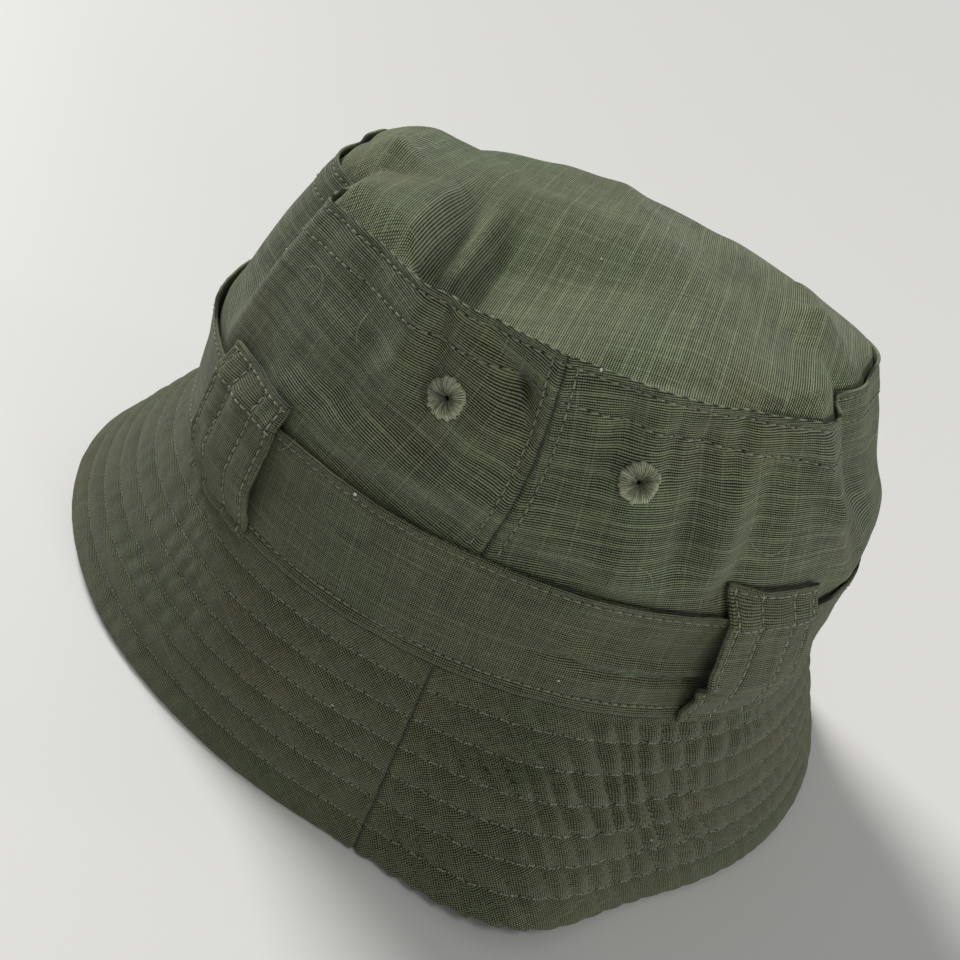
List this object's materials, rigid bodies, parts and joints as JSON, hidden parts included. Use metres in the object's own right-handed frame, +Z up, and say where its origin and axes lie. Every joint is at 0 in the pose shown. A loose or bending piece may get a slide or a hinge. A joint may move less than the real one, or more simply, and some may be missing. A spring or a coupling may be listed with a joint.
{
  "type": "boonie hat",
  "caption": "Soft short-brimmed boonie hat: oval crown with flat top, cloth band held by sewn loops, thread eyelets and a sloping stitched brim.",
  "frame": {"origin": "centre of the brim's edge, on the surface the hat stands on", "axes": "+Z up through the crown, -Y towards the front of the head, +X to the wearer's left"},
  "size_m": [0.216, 0.264, 0.1433],
  "materials": {
    "crown_cloth": "matte",
    "brim_cloth": "matte",
    "band_cloth": "matte",
    "interlining": "matte",
    "eyelet_thread": "matte",
    "lining_cloth": "matte",
    "tape": "matte",
    "label": "matte"
  },
  "bodies": {
    "root": {"brim_upper_front": "brim_cloth", "brim_upper_back": "brim_cloth", "brim_interlining_front": "interlining", "brim_interlining_back": "interlining", "brim_lower_front": "brim_cloth", "brim_lower_back": "brim_cloth", "crown_wall_front": "crown_cloth", "crown_wall_back": "crown_cloth", "crown_top": "crown_cloth", "hat_band": "band_cloth", "band_loop_left_front": "band_cloth", "band_loop_left_back": "band_cloth", "band_loop_right_front": "band_cloth", "band_loop_right_back": "band_cloth", "eyelet_left_front": "eyelet_thread", "eyelet_left_back": "eyelet_thread", "eyelet_right_front": "eyelet_thread", "eyelet_right_back": "eyelet_thread", "sweatband": "lining_cloth", "side_seam_tape_left": "tape", "side_seam_tape_right": "tape", "top_seam_binding": "tape", "inner_label": "label"}
  },
  "joints": []
}
